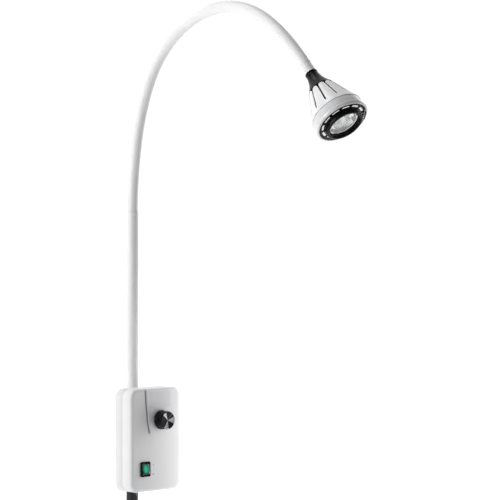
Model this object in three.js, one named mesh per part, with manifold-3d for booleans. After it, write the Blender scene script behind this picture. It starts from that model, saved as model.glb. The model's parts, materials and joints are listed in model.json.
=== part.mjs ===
// Examination lamp: halogen spot head on a flexible neck, with a control box behind which the neck's tube
// meets a steel mounting spigot. Millimetres, +Z up. The origin is the centre of the spigot's lower end, the
// tube and spigot share the Z axis, and the box's front faces -Y.
import * as THREE from 'three';
import { mergeVertices } from 'three/addons/utils/BufferGeometryUtils.js';
import Module from 'manifold-3d';

const wasm = await Module();
wasm.setup();

// ---- Driving dimensions ----
const GAP = 0.3;                        // clearance between pieces that touch
const SMALLEST_DETAIL = 0.01;           // slivers below this are merged away after a cut or join

const SPIGOT_RADIUS = 9.5;
const SPIGOT_WALL = 2;
const SPIGOT_DROP = 70;                 // spigot showing below the box

const BOX_WIDTH = 102;
const BOX_HEIGHT = 160;
const BOX_BACK = -17;                   // y of the rear face
const BOX_FRONT = -59;                  // y of the front face
const BOX_SPLIT = -37;                  // y of the joint between the two covers
const BOX_CORNER = 14;                  // corner radius seen from the front
const BOX_EDGE = 5;                     // rounding of the front and rear edges
const BOX_WALL = 2.4;
const BOX_BASE = SPIGOT_DROP;           // z of the box's underside
const boxMiddle = BOX_BASE + BOX_HEIGHT / 2;

const TUBE_RADIUS = 9.5;                // rigid white tube under the flexible neck
const TUBE_WALL = 1.6;
const BRACKET_BASE = BOX_BASE + 24;
const BRACKET_TOP = BOX_BASE + 148;
const SPIGOT_TOP = BOX_BASE + 84;
const TUBE_BASE = SPIGOT_TOP + 3;
const PLATE_SCREWS = [[-22, BRACKET_BASE + 12], [22, BRACKET_TOP - 12]];   // x and z
const LEAD_WAY = TUBE_BASE + 22;        // z of the lead's way from the box into the tube

const NECK_START = BOX_BASE + 437;      // z where the flexible neck leaves the tube
const NECK_RADIUS = 8.75;
const NECK_PITCH = 52;                  // length of neck that each pivot bends
const NECK_BENDS = [6, 4, 8, 10, 16, 16, 14, 16, 17, 16, 9, 7]; // resting bend at each pivot, degrees
const NECK_TAIL = 18;                   // straight ribbed end under the head's collar
const BALL_RADIUS = 7.6;
const SOCKET_RADIUS = 8.5;
const BALL_RELIEF = 4.2;                // how far a link's tube stops short of its ball's centre
const BORE_RADIUS = 3.5;
const NECK_SIDES = 10;

const FIELD_LEFT = -20.5;               // the front's raised field: left edge at its top
const FIELD_RIGHT = 43.5;
const FIELD_TOP = BOX_HEIGHT / 2 - 3;   // z from the box's middle, like the foot
const FIELD_FOOT = 12;
const FIELD_RISE = 1.6;                 // how far the field stands out at its top
const GROOVE_WIDTH = 3.4;
const GROOVE_DEPTH = 1.5;
const KNOB_X = 8.3;
const KNOB_Z = BOX_BASE + 110.6;
const KNOB_RADIUS = 14.5;
const KNOB_HEIGHT = 15.5;
const ROCKER_X = -22.9;
const ROCKER_Z = BOX_BASE + 35.4;
const ROCKER_REST_TILT = 9;             // degrees, top half pressed in
const INLET_X = 8;
const FUSE_X = 38;
const UNDERSIDE_Y = -38;                // the mains inlet and fuse sit side by side under the box
const FLANGE = 1.4;                     // thickness of their flanges, let into the underside
const FLANGE_PROUD = 0.4;               // how far the flanges stand out of it

const HEAD_LENGTH = 96;                 // collar to the plane of the front ring
const PETALS = 12;
const PETAL_TIP = 33;                   // distance from the collar to the petals' tips
const RING_RADIUS = 36.6;
const SNOOT_HEIGHT = 8;                 // how far the ring's snoot stands out round the glass
const VENTS = 12;
const VENT_START = 28;                  // degrees from local x to the middle of the first vent

// ---- Materials ----
const paint = (color, roughness, metalness = 0) =>
  new THREE.MeshStandardMaterial({ color, roughness, metalness });
const whitePlastic = () => paint(0xf1f1ee, 0.42);
const whiteSleeve = () => paint(0xeeeeec, 0.5);
const blackPlastic = () => paint(0x121213, 0.3);
const chrome = () => paint(0xd8d8da, 0.12, 1);
const steel = () => paint(0xb4b6b8, 0.35, 1);
const aluminium = () => paint(0xc9cbce, 0.3, 1);
const copper = () => paint(0xb5673a, 0.4, 1);
const ceramic = () => paint(0xe8e2d2, 0.8);
const boardGreen = () => paint(0x1d6b3a, 0.5);
const greenLens = () => paint(0x35b84b, 0.25);
const rubber = () => paint(0x1c1c1c, 0.8);
const clearGlass = () => paint(0xe6eef0, 0.05);
const mirrorGlass = () => paint(0xdfe3e6, 0.08, 0.9);

// ---- Solids: joining and cutting ----
function toManifold(geometry) {
  const bare = geometry.clone();
  bare.deleteAttribute('normal');
  bare.deleteAttribute('uv');
  const merged = mergeVertices(bare, 1e-4);
  const place = merged.attributes.position;
  const index = Array.from(merged.index.array);
  const corner = (i) => new THREE.Vector3().fromBufferAttribute(place, i);
  let triangles = [];
  let volume = 0;
  for (let i = 0; i < index.length; i += 3) {
    const [p, q, r] = index.slice(i, i + 3);
    if (p === q || q === r || r === p) continue;
    triangles.push([p, q, r]);
    volume += corner(p).dot(corner(q).cross(corner(r)));
  }
  if (volume < 0) triangles = triangles.map(([p, q, r]) => [p, r, q]);
  return new wasm.Manifold(new wasm.Mesh({
    numProp: 3,
    vertProperties: new Float32Array(place.array),
    triVerts: new Uint32Array(triangles.flat()),
  }));
}

function toGeometry(manifold) {
  const mesh = manifold.simplify(SMALLEST_DETAIL).getMesh();
  const geometry = new THREE.BufferGeometry();
  geometry.setAttribute('position', new THREE.BufferAttribute(new Float32Array(mesh.vertProperties), 3));
  geometry.setIndex(new THREE.BufferAttribute(new Uint32Array(mesh.triVerts), 1));
  return geometry;
}

const join = (...pieces) => toGeometry(pieces.map(toManifold).reduce((a, b) => a.add(b)));
const cut = (body, ...tools) =>
  toGeometry(tools.map(toManifold).reduce((a, b) => a.subtract(b), toManifold(body)));
const common = (body, other) => toGeometry(toManifold(body).intersect(toManifold(other)));

// ---- Shapes used throughout ----
const radians = THREE.MathUtils.degToRad;

function block([x0, x1], [y0, y1], [z0, z1]) {
  const box = new THREE.BoxGeometry(x1 - x0, y1 - y0, z1 - z0);
  return box.translate((x0 + x1) / 2, (y0 + y1) / 2, (z0 + z1) / 2);
}

// A cylinder along Z between two heights.
function rod(radius, z0, z1, sides = 24) {
  const cylinder = new THREE.CylinderGeometry(radius, radius, z1 - z0, sides);
  return cylinder.rotateX(Math.PI / 2).translate(0, 0, (z0 + z1) / 2);
}

// A solid of revolution about Z from [radius, z] points. A profile that is off the axis closes on itself.
function turned(points, sides = 24) {
  const closed = points[0][0] > 0 ? [...points, points[0]] : points;
  const profile = closed.map(([r, z]) => new THREE.Vector2(r, z));
  return new THREE.LatheGeometry(profile, sides).rotateX(Math.PI / 2);
}

function roundedRectangle(width, height, radius) {
  const [w, h] = [width / 2 - radius, height / 2 - radius];
  const shape = new THREE.Shape();
  shape.absarc(w, h, radius, 0, Math.PI / 2);
  shape.absarc(-w, h, radius, Math.PI / 2, Math.PI);
  shape.absarc(-w, -h, radius, Math.PI, 1.5 * Math.PI);
  shape.absarc(w, -h, radius, 1.5 * Math.PI, 2 * Math.PI);
  return shape;
}

function polygon(points) {
  return new THREE.Shape(points.map(([x, y]) => new THREE.Vector2(x, y)));
}

const extruded = (shape, depth, curveSegments = 6) =>
  new THREE.ExtrudeGeometry(shape, { depth, bevelEnabled: false, curveSegments });

// Turns something drawn in X-Y and raised along Z to face the front: drawing Y becomes Z, raising goes to -Y.
const facingFront = (geometry) => geometry.rotateX(Math.PI / 2);

// Turns something drawn in Y-Z (as X-Y) and raised along Z so that it is raised along X.
const facingSide = (geometry) => geometry.rotateX(Math.PI / 2).rotateZ(Math.PI / 2);

// A pan-headed screw facing the rear: thread from y = 0 backwards, then its head.
function screw(threadRadius, headRadius, length, headHeight) {
  const top = length + headHeight;
  const body = turned([[0, 0], [threadRadius, 0], [threadRadius, length], [headRadius, length],
    [headRadius, top - 0.8], [headRadius - 0.8, top], [0, top]], 10);
  return cut(body, block([-headRadius, headRadius], [-0.5, 0.5], [top - 1, top + 1])).rotateX(-Math.PI / 2);
}

// ---- Scene ----
const lamp = new THREE.Group();
const names = new Set();

function add(parent, name, geometry, material, position = [0, 0, 0]) {
  if (names.has(name)) throw new Error(`${name} is used twice`);
  names.add(name);
  const mesh = new THREE.Mesh(geometry.index ? geometry.toNonIndexed() : geometry, material);
  mesh.geometry.computeVertexNormals();
  mesh.name = name;
  mesh.position.set(...position);
  parent.add(mesh);
  return mesh;
}

// ---- Mounting spigot, tube and the bracket that holds them behind the box ----
function buildColumn() {
  const inner = SPIGOT_RADIUS - SPIGOT_WALL;
  const plugFlange = 3;
  add(lamp, 'spigot_plug', turned([[0, 0], [8.5, 0], [SPIGOT_RADIUS, 1], [SPIGOT_RADIUS, plugFlange],
    [inner - GAP, plugFlange], [inner - GAP, 14], [0, 14]], 20), rubber());
  add(lamp, 'mounting_spigot', turned([[SPIGOT_RADIUS, plugFlange + GAP], [SPIGOT_RADIUS, SPIGOT_TOP],
    [inner, SPIGOT_TOP], [inner, plugFlange + GAP]]), chrome());

  const bore = TUBE_RADIUS - TUBE_WALL;
  add(lamp, 'neck_tube', turned([[TUBE_RADIUS, TUBE_BASE], [TUBE_RADIUS, NECK_START - 1.2],
    [TUBE_RADIUS - 0.5, NECK_START], [bore, NECK_START], [bore, TUBE_BASE]]), whitePlastic());

  // Bracket: a casting with a round back, a plate against the rear cover and a bore for both tubes.
  const height = BRACKET_TOP - BRACKET_BASE;
  const back = BOX_BACK + GAP;
  const section = new THREE.Shape();
  section.moveTo(-26, back);
  section.lineTo(26, back);
  section.lineTo(26, back + 5);
  section.lineTo(17.5, back + 5);
  section.lineTo(15.5, 0);
  section.absarc(0, 0, 15.5, 0, Math.PI);
  section.lineTo(-17.5, back + 5);
  section.lineTo(-26, back + 5);
  const casting = extruded(section, height, 8).translate(0, 0, BRACKET_BASE);
  const passage = rod(TUBE_RADIUS + GAP, BRACKET_BASE - 1, BRACKET_TOP + 1, 24);
  const leadWay = facingFront(rod(5, 0, 20, 16)).translate(0, 0, LEAD_WAY);
  const pinchHeights = [BRACKET_BASE + 22, BRACKET_TOP - 20];
  const pinchHoles = pinchHeights.map((z) => facingFront(rod(2.8, -20, 0, 12)).translate(0, 0, z));
  const plateHoles = PLATE_SCREWS.map(([x, z]) => facingFront(rod(2.3, 0, 30, 12)).translate(x, 0, z));
  add(lamp, 'pole_bracket', cut(casting, passage, leadWay, ...pinchHoles, ...plateHoles), whitePlastic());

  pinchHeights.forEach((z, i) => {
    const pinch = screw(2.4, 4.2, 6.2, 2.6);
    add(lamp, `pinch_screw_${i + 1}`, pinch, steel(), [0, TUBE_RADIUS + GAP, z]);
  });
  PLATE_SCREWS.forEach(([x, z], i) => {
    const fixing = screw(2, 3.4, 9.5, 2.4);
    add(lamp, `bracket_screw_${i + 1}`, fixing, steel(), [x, back + 5 + GAP - 9.5, z]);
  });
}

// ---- Control box ----
// The casing's outside (or inside, with an inset) as one rounded block.
function casingBlock(inset) {
  const edge = Math.max(BOX_EDGE - inset, 1.2);
  const depth = BOX_BACK - BOX_FRONT - 2 * inset;
  const outline = roundedRectangle(BOX_WIDTH - 2 * inset - 2 * edge, BOX_HEIGHT - 2 * inset - 2 * edge,
    Math.max(BOX_CORNER - inset - edge, 1));
  const raised = new THREE.ExtrudeGeometry(outline, {
    depth: depth - 2 * edge, bevelThickness: edge, bevelSize: edge, bevelSegments: 2, curveSegments: 3,
  });
  return facingFront(raised).translate(0, BOX_BACK - inset - edge, boxMiddle);
}

// Left edge of the raised field, which leans in towards the knob as it comes down: x and z from the box's
// middle, shifted to the left.
const fieldEdge = (shift) => Array.from({ length: 9 }, (_, i) => {
  const share = i / 8;
  const lean = 3.2 * share + 4.3 * share ** 2;
  return [FIELD_LEFT + lean - shift, FIELD_TOP + (FIELD_FOOT - FIELD_TOP) * share];
});

// Low raised field on the right of the front, thickest at the top and running out below the knob.
function raisedField() {
  const corner = 7;
  const outline = polygon([...fieldEdge(0), [FIELD_RIGHT, FIELD_FOOT], [FIELD_RIGHT, FIELD_TOP - corner],
    [FIELD_RIGHT - corner * 0.3, FIELD_TOP - corner * 0.3], [FIELD_RIGHT - corner, FIELD_TOP]]);
  const field = facingFront(extruded(outline, 6)).translate(0, BOX_FRONT + 3, boxMiddle);
  const away = block([-60, 60], [-20, 0], [-70, 70]);
  const slope = Math.atan2(FIELD_RISE, FIELD_TOP - FIELD_FOOT);
  away.translate(0, 0, 70).rotateX(slope).translate(0, BOX_FRONT, boxMiddle + FIELD_FOOT);
  return cut(field, away);
}

// Groove along the field's left edge, open over the top of the box and rounded at its foot.
function fieldGroove() {
  const [footX, footZ] = fieldEdge(GROOVE_WIDTH / 2).at(-1);
  const half = GROOVE_WIDTH / 2;
  const foot = [1, 2, 3, 4, 5].map((i) => i * Math.PI / 6)
    .map((a) => [footX + half * Math.cos(a), footZ - half * Math.sin(a)]);
  const above = FIELD_TOP + BOX_EDGE;
  const outline = polygon([[FIELD_LEFT, above], ...fieldEdge(0), ...foot,
    ...fieldEdge(GROOVE_WIDTH).reverse(), [FIELD_LEFT - GROOVE_WIDTH, above]]);
  return facingFront(extruded(outline, 5)).translate(0, BOX_FRONT + GROOVE_DEPTH, boxMiddle);
}

const FIXING_POSTS = [[-43.5, 20], [43.5, 20], [-43.5, -46], [43.5, -46]];   // x and z from the box's middle

function buildCasing() {
  const hollow = casingBlock(BOX_WALL);
  const wide = [-80, 80];
  const tall = [0, 400];
  const shell = cut(casingBlock(0), hollow);
  const halfGap = 0.25;

  const postAt = ([x, z], radius, y0, y1) =>
    facingFront(rod(radius, -y0, -y1, 16)).translate(x, 0, boxMiddle + z);
  const rearPosts = FIXING_POSTS.map((p) => postAt(p, 4.2, BOX_BACK - 1, BOX_SPLIT + halfGap));
  const screwWays = FIXING_POSTS.map((p) => postAt(p, 1.9, BOX_BACK + 1, BOX_SPLIT - 1));
  const headWells = FIXING_POSTS.map((p) => postAt(p, 3.6, BOX_BACK + 1, BOX_BACK - 5));
  const rearHalf = block(wide, [BOX_SPLIT + halfGap, 0], tall);
  const leadHole = facingFront(rod(5, 10, 30, 16)).translate(0, 0, LEAD_WAY);
  const plateHoles = PLATE_SCREWS.map(([x, z]) => facingFront(rod(2.3, 10, 24, 12)).translate(x, 0, z));
  const underside = [BOX_BASE - 5, BOX_BASE + 10];
  const pocket = [BOX_BASE - 5, BOX_BASE - FLANGE_PROUD + FLANGE + GAP];
  const inletWay = block([-13.5, 13.5], [-10, 10], underside);
  const inletHole = join(inletWay, block([-17.4, 17.4], [-12.4, 12.4], pocket))
    .translate(INLET_X, UNDERSIDE_Y, 0);
  const fuseHole = join(rod(7.3, ...underside, 20), rod(8.5, ...pocket, 20))
    .translate(FUSE_X, UNDERSIDE_Y, 0);
  add(lamp, 'rear_cover', cut(join(common(shell, rearHalf), ...rearPosts),
    ...screwWays, ...headWells, leadHole, ...plateHoles, inletHole, fuseHole), whitePlastic());

  const frontPosts = FIXING_POSTS.map((p) => postAt(p, 4.2, BOX_SPLIT - halfGap, BOX_FRONT + 1));
  const threadWays = FIXING_POSTS.map((p) => postAt(p, 1.9, BOX_SPLIT + 1, BOX_SPLIT - 12));
  const frontHalf = block(wide, [-100, BOX_SPLIT - halfGap], tall);
  const shaftHole = facingFront(rod(4.3, 40, 80, 20)).translate(KNOB_X, 0, KNOB_Z);
  const rockerHole = block([ROCKER_X - 8.3, ROCKER_X + 8.3], [-70, -50], [ROCKER_Z - 9.8, ROCKER_Z + 9.8]);
  const field = cut(raisedField(), hollow);
  add(lamp, 'front_cover', cut(join(cut(common(shell, frontHalf), fieldGroove()), field, ...frontPosts),
    ...threadWays, shaftHole, rockerHole, inletHole, fuseHole), whitePlastic());

  FIXING_POSTS.forEach(([x, z], i) => {
    const fixing = screw(1.6, 3.2, 22, 2.2);
    add(lamp, `case_screw_${i + 1}`, fixing, steel(), [x, BOX_BACK - 5 - 22 + GAP, boxMiddle + z]);
  });
}

// ---- Mains inlet and fuse in the underside ----
function buildMains() {
  const flange = extruded(roundedRectangle(34, 24, 4), FLANGE, 4);
  const body = extruded(roundedRectangle(26.2, 19.2, 2), 22, 4).translate(0, 0, FLANGE);
  const socket = extruded(roundedRectangle(24.2, 16.6, 2), 17, 4).translate(0, 0, -0.5);
  const base = BOX_BASE - FLANGE_PROUD;
  const pins = { live: [-7, -3], neutral: [7, -3], earth: [0, 3] };
  const pinWays = Object.values(pins).map(([x, y]) =>
    block([x - 1.3, x + 1.3], [y - 2.3, y + 2.3], [10, 30]));
  add(lamp, 'mains_inlet', cut(join(flange, body), socket, ...pinWays), blackPlastic(),
    [INLET_X, UNDERSIDE_Y, base]);
  Object.entries(pins).forEach(([name, [x, y]]) => {
    const pin = block([-1, 1], [-2, 2], [3.5, 28]);
    add(lamp, `inlet_pin_${name}`, pin, steel(), [INLET_X + x, UNDERSIDE_Y + y, base]);
  });

  add(lamp, 'fuse_holder', turned([[8, 0], [8, FLANGE], [6.9, FLANGE], [6.9, 26], [4.4, 26], [4.4, 3.2],
    [6.3, 3.2], [6.3, 0]], 20), blackPlastic(), [FUSE_X, UNDERSIDE_Y, base]);
  const cap = turned([[0, 0.1], [5.4, 0.1], [5.9, 0.6], [5.9, 2.9], [4, 2.9], [4, 18], [0, 18]], 20);
  add(lamp, 'fuse_cap', cut(cap, block([-4.2, 4.2], [-0.6, 0.6], [-1, 1.5])), blackPlastic(),
    [FUSE_X, UNDERSIDE_Y, base]);
}

// ---- Transformer and dimmer board ----
function buildElectrics() {
  const z = BOX_BASE + 76;
  const middle = -38.5;
  const halfStack = 10.5;
  const halfLimb = 10;
  const windows = [[-20, -halfLimb], [halfLimb, 20]].map((x) =>
    block(x, [middle - halfStack - 2, middle + halfStack + 2], [z - 15, z + 15]));
  const lamination = block([-30, 30], [middle - halfStack, middle + halfStack], [z - 25, z + 25]);
  add(lamp, 'transformer_core', cut(lamination, ...windows), steel());
  const limb = block([-halfLimb - GAP, halfLimb + GAP], [middle - halfStack - GAP, middle + halfStack + GAP],
    [z - 20, z + 20]);
  const coilDepth = 34;
  const winding = facingFront(extruded(roundedRectangle(40 - 2 * GAP, 30 - 2 * GAP, 1.5), coilDepth, 2));
  add(lamp, 'transformer_coil', cut(winding.translate(0, middle + coilDepth / 2, z), limb), copper());

  // Clamps: a plate down each side of the core, a pad behind it and a foot on the rear cover.
  const footFace = BOX_BACK - BOX_WALL - 0.8;
  const grip = [z - 8, z + 8];
  [-1, 1].forEach((side, i) => {
    const across = (near, far) => (side > 0 ? [near, far] : [-far, -near]);
    const plate = block(across(30.3, 31.6), [middle - halfStack - 1.8, footFace], grip);
    const pad = block(across(20, 31.6), [middle + halfStack + GAP, footFace], grip);
    const foot = block(across(30.4, 39), [footFace - 1.7, footFace], grip);
    add(lamp, `transformer_clamp_${i + 1}`, join(plate, pad, foot), steel());
  });

  const boardY = -42;
  const board = block([-44, 44], [boardY - 0.8, boardY + 0.8], [BOX_BASE + 105, BOX_BASE + 150]);
  const reliefs = FIXING_POSTS.map(([x, height]) =>
    facingFront(rod(5.2, 30, 60, 16)).translate(x, 0, boxMiddle + height));
  add(lamp, 'dimmer_board', cut(board, ...reliefs), boardGreen());

  const onBoard = boardY - 0.8 - GAP;
  const fins = [-9, -3, 3, 9].map((x) => block([x - 0.8, x + 0.8], [-12, 0], [-12, 12]));
  add(lamp, 'heat_sink', join(block([-11, 11], [-2, 0], [-12, 12]), ...fins), aluminium(),
    [-28, onBoard, BOX_BASE + 133]);
  const can = turned([[0, 0], [5, 0], [5, 10], [4.5, 11], [0, 11]], 16);
  add(lamp, 'dimmer_capacitor', facingFront(can), copper(), [-4, onBoard, BOX_BASE + 140]);
  const ways = [-5, 5].map((x) => facingFront(rod(1.8, 6, 20, 10)).translate(x, 0, 0));
  add(lamp, 'terminal_block', cut(block([-10, 10], [-10, 0], [-5, 5]), ...ways), boardGreen(),
    [-24, onBoard, BOX_BASE + 114]);

  const potBody = turned([[3.3, 0], [8.2, 0], [8.2, 8], [3.9, 8], [3.9, 12.8], [3.3, 12.8]], 20);
  const potY = BOX_FRONT + BOX_WALL + GAP + 8;
  add(lamp, 'potentiometer', facingFront(potBody), steel(), [KNOB_X, potY, KNOB_Z]);
}

// ---- Knob and switch ----
function buildControls() {
  const knobBase = BOX_FRONT - 2.4;
  const faceRecess = 1.4;
  const seat = KNOB_HEIGHT - faceRecess;
  const skirt = turned([[3.4, 0], [KNOB_RADIUS + 0.5, 0], [KNOB_RADIUS + 0.5, 2], [KNOB_RADIUS, 3],
    [KNOB_RADIUS - 0.6, KNOB_HEIGHT - 1], [KNOB_RADIUS - 1.4, KNOB_HEIGHT], [KNOB_RADIUS - 2, KNOB_HEIGHT],
    [KNOB_RADIUS - 2, seat], [3.4, seat]], 24);
  add(lamp, 'knob_body', facingFront(skirt), blackPlastic(), [KNOB_X, knobBase, KNOB_Z]);
  const face = turned([[0, 0], [KNOB_RADIUS - 2.4, 0], [KNOB_RADIUS - 2.4, 1], [KNOB_RADIUS - 3, 1.3],
    [0, 0.9]], 24);
  add(lamp, 'knob_face', facingFront(face), aluminium(), [KNOB_X, knobBase - seat - GAP, KNOB_Z]);
  add(lamp, 'knob_shaft', facingFront(rod(3, -6, KNOB_HEIGHT - 2, 16)), steel(), [KNOB_X, knobBase, KNOB_Z]);

  const bezelFront = BOX_FRONT - 2;
  const bezel = facingFront(extruded(roundedRectangle(19.4, 23, 2), 2 - GAP, 3)).translate(0, -GAP, 0);
  const can = block([-8, 8], [-GAP - 0.2, 22], [-9.5, 9.5]);
  const pocket = block([-7.1, 7.1], [-3, 7], [-8.9, 8.9]);
  add(lamp, 'rocker_housing', cut(join(bezel, can), pocket), blackPlastic(), [ROCKER_X, BOX_FRONT, ROCKER_Z]);
  // Side outline of the button about its pivot: height first, then how far it stands out to the front.
  const outline = polygon([[-8, 3], [-4, 2.45], [0, 2.2], [4, 2.45], [8, 3], [8.2, 0], [7.4, -2.5],
    [-7.4, -2.5], [-8.2, 0]]);
  const width = 13.6;
  const button = facingSide(extruded(outline, width)).translate(-width / 2, 0, 0);
  button.rotateX(Math.PI / 2);
  const rocker = add(lamp, 'rocker_button', button, greenLens(), [ROCKER_X, bezelFront + 2, ROCKER_Z]);
  rocker.rotation.x = radians(-ROCKER_REST_TILT);
}

// ---- Flexible neck ----
// Place and lean of the neck's centre line at a distance along it: a chain of arcs with straight ends.
function neckAt(distance) {
  let [forward, height, lean] = [0, Math.min(distance, 0), 0];
  const bentLength = NECK_BENDS.length * NECK_PITCH;
  NECK_BENDS.forEach((bend, i) => {
    const run = THREE.MathUtils.clamp(distance - i * NECK_PITCH, 0, NECK_PITCH);
    const turn = radians(bend) * run / NECK_PITCH;
    const chord = turn === 0 ? run : run * Math.sin(turn / 2) / (turn / 2);
    forward += chord * Math.sin(lean + turn / 2);
    height += chord * Math.cos(lean + turn / 2);
    lean += turn;
  });
  const straight = Math.max(distance - bentLength, 0);
  forward += straight * Math.sin(lean);
  height += straight * Math.cos(lean);
  return { point: new THREE.Vector3(0, -forward, height), lean };
}

class NeckLine extends THREE.Curve {
  constructor(from, to) {
    super();
    this.from = from;
    this.to = to;
  }

  getPoint(t, target = new THREE.Vector3()) {
    return target.copy(neckAt(THREE.MathUtils.lerp(this.from, this.to, t)).point);
  }
}

// A round bar along the neck's centre line.
function neckBar(radius, from, to, sides) {
  const circle = new THREE.Shape().absarc(0, 0, radius, 0, 2 * Math.PI);
  const steps = Math.max(1, Math.round((to - from) / 17));
  return new THREE.ExtrudeGeometry(circle, {
    steps, curveSegments: sides / 2, bevelEnabled: false, extrudePath: new NeckLine(from, to),
  });
}

const pivotAt = (i) => (i + 0.5) * NECK_PITCH;

function neckBall(radius, i) {
  const { point, lean } = neckAt(pivotAt(i));
  const ball = new THREE.SphereGeometry(radius, NECK_SIDES, 6).rotateX(Math.PI / 2);
  return ball.rotateX(lean).translate(...point);
}

function buildNeck() {
  const neck = new THREE.Group();
  neck.position.z = NECK_START;
  lamp.add(neck);
  const last = NECK_BENDS.length - 1;
  const boreFrom = (from, to) => neckBar(BORE_RADIUS, from, to, 6);

  const stub = rod(TUBE_RADIUS - TUBE_WALL - GAP, -28, GAP + 2, 14);
  const firstTube = neckBar(NECK_RADIUS, GAP, pivotAt(0) - BALL_RELIEF, NECK_SIDES);
  add(neck, 'neck_root', cut(join(stub, firstTube, neckBall(BALL_RADIUS, 0)), boreFrom(-30, pivotAt(0) + 10)),
    whiteSleeve());
  for (let i = 0; i < last; i += 1) {
    const tube = neckBar(NECK_RADIUS, pivotAt(i), pivotAt(i + 1) - BALL_RELIEF, NECK_SIDES);
    const solidLink = join(cut(tube, neckBall(SOCKET_RADIUS, i)), neckBall(BALL_RADIUS, i + 1));
    const link = cut(solidLink, boreFrom(pivotAt(i) - 2, pivotAt(i + 1) + 10));
    add(neck, `neck_link_${i + 1}`, link, whiteSleeve());
  }
  const collar = NECK_BENDS.length * NECK_PITCH + NECK_TAIL;
  const endTube = neckBar(NECK_RADIUS, pivotAt(last), collar - GAP, NECK_SIDES);
  const threaded = neckBar(6, collar - 2, collar + 23, NECK_SIDES);
  add(neck, 'neck_end', cut(join(cut(endTube, neckBall(SOCKET_RADIUS, last)), threaded),
    boreFrom(pivotAt(last) - 2, collar + 30)), whiteSleeve());

  const { point, lean } = neckAt(collar);
  const head = new THREE.Group();
  head.position.copy(point);
  head.rotation.x = lean;
  neck.add(head);
  return head;
}

// ---- Lamp head: local z runs from the collar to the front ring, local y is the head's top ----
const HOUSING_INSET = 3.4;              // how far the inner cone lies inside the white shell
const HOUSING_WALL = 2;
const shellRadius = (z) => 20.4 + (z - PETAL_TIP) * 0.405;
const housingRadius = (z) => shellRadius(z) - HOUSING_INSET;

function buildHousing(head) {
  // Black collar and the cone that carries on under the white shell.
  const outside = [[9.3, 0], [9.5, 0.6], [9.5, 2], [9.0, 3.2], [9.5, 8], [11.4, 15], [14.2, 22],
    [18.6, 30], [19.8, PETAL_TIP - 0.5], [16.8, PETAL_TIP - 0.5], [housingRadius(70), 70]];
  const inside = [[housingRadius(70) - HOUSING_WALL, 70], [housingRadius(32) - HOUSING_WALL, 32], [11, 24.5],
    [9.4, 17], [6.4, 17], [6.4, 0]];
  add(head, 'lamp_housing', turned([...outside, ...inside], 24), blackPlastic());
  const nut = new THREE.CylinderGeometry(8.2, 8.2, 4.5, 6).rotateX(Math.PI / 2).translate(0, 0, 19.6);
  add(head, 'neck_nut', cut(nut, rod(6.3, 10, 30, 20)), steel());

  // White shell: a cone slit into petals at its top, with a recessed band and a rounded rim.
  const wall = 2.2;
  const profile = [[shellRadius(PETAL_TIP), PETAL_TIP], [shellRadius(79), 79], [38.5, 79.8], [39.7, 90.4],
    [40.4, 91], [40.6, 93], [40, 95.4], [38.8, 96.7], [37.5, 96.8], [37, 96.2], [37, 91.5], [37.6, 90],
    [shellRadius(78) - wall, 78], [shellRadius(PETAL_TIP) - wall, PETAL_TIP]];
  const slit = new THREE.Shape();
  const [halfSlit, slitEnd, flareStart, halfTip] = [1.3, 70.2, PETAL_TIP + 8, 5.2];
  slit.moveTo(-halfSlit, flareStart);
  slit.lineTo(-halfSlit, slitEnd);
  slit.absarc(0, slitEnd, halfSlit, Math.PI, 0, true);
  slit.lineTo(halfSlit, flareStart);
  slit.quadraticCurveTo(halfSlit + 0.2, PETAL_TIP + 1.8, halfTip, PETAL_TIP - 0.3);
  slit.lineTo(halfTip, PETAL_TIP - 6);
  slit.lineTo(-halfTip, PETAL_TIP - 6);
  slit.lineTo(-halfTip, PETAL_TIP - 0.3);
  slit.quadraticCurveTo(-halfSlit - 0.2, PETAL_TIP + 1.8, -halfSlit, flareStart);
  const slits = Array.from({ length: PETALS }, (_, i) => extruded(slit, 50, 3).rotateX(Math.PI / 2)
    .rotateZ(i * 2 * Math.PI / PETALS + Math.PI / 2));
  add(head, 'head_shell', cut(turned(profile, 3 * PETALS), ...slits), whitePlastic());
}

function buildFrontRing(head) {
  const front = HEAD_LENGTH;
  const lip = front + SNOOT_HEIGHT;
  const profile = [[RING_RADIUS, front - 3], [RING_RADIUS, front - 0.5], [RING_RADIUS - 0.6, front],
    [29, front], [28.4, lip - 1.2], [27.4, lip], [25, lip], [24, lip - 0.8], [23.4, front],
    [25.9, front - 0.2], [25.9, front - 7], [27.8, front - 7], [27.8, front - 3]];
  const arc = radians(22.5);            // each vent's sweep
  const vent = new THREE.Shape();
  vent.absarc(0, 0, 33, -arc / 2, arc / 2);
  vent.absarc(0, 0, 29.8, arc / 2, -arc / 2, true);
  const vents = Array.from({ length: VENTS }, (_, i) => extruded(vent, 12, 2).translate(0, 0, front - 8)
    .rotateZ(radians(VENT_START + i * 360 / VENTS)));
  add(head, 'front_ring', cut(turned(profile, 2 * VENTS), ...vents), blackPlastic());

  const latchAngle = radians(28);
  const latch = cut(block([29.8, 35.8], [-6.5, 6.5], [GAP, 3.6]), block([31.4, 34.2], [-5, 5], [2.2, 5]));
  add(head, 'ring_latch', latch.translate(0, 0, front).rotateZ(latchAngle), blackPlastic());
  add(head, 'cover_glass', rod(25.4, front - 1.8, front - 0.6, 32), clearGlass());
  add(head, 'glass_gasket', turned([[24, front - 3], [25.4, front - 3], [25.4, front - 2.1],
    [24, front - 2.1]], 24), rubber());
}

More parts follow.
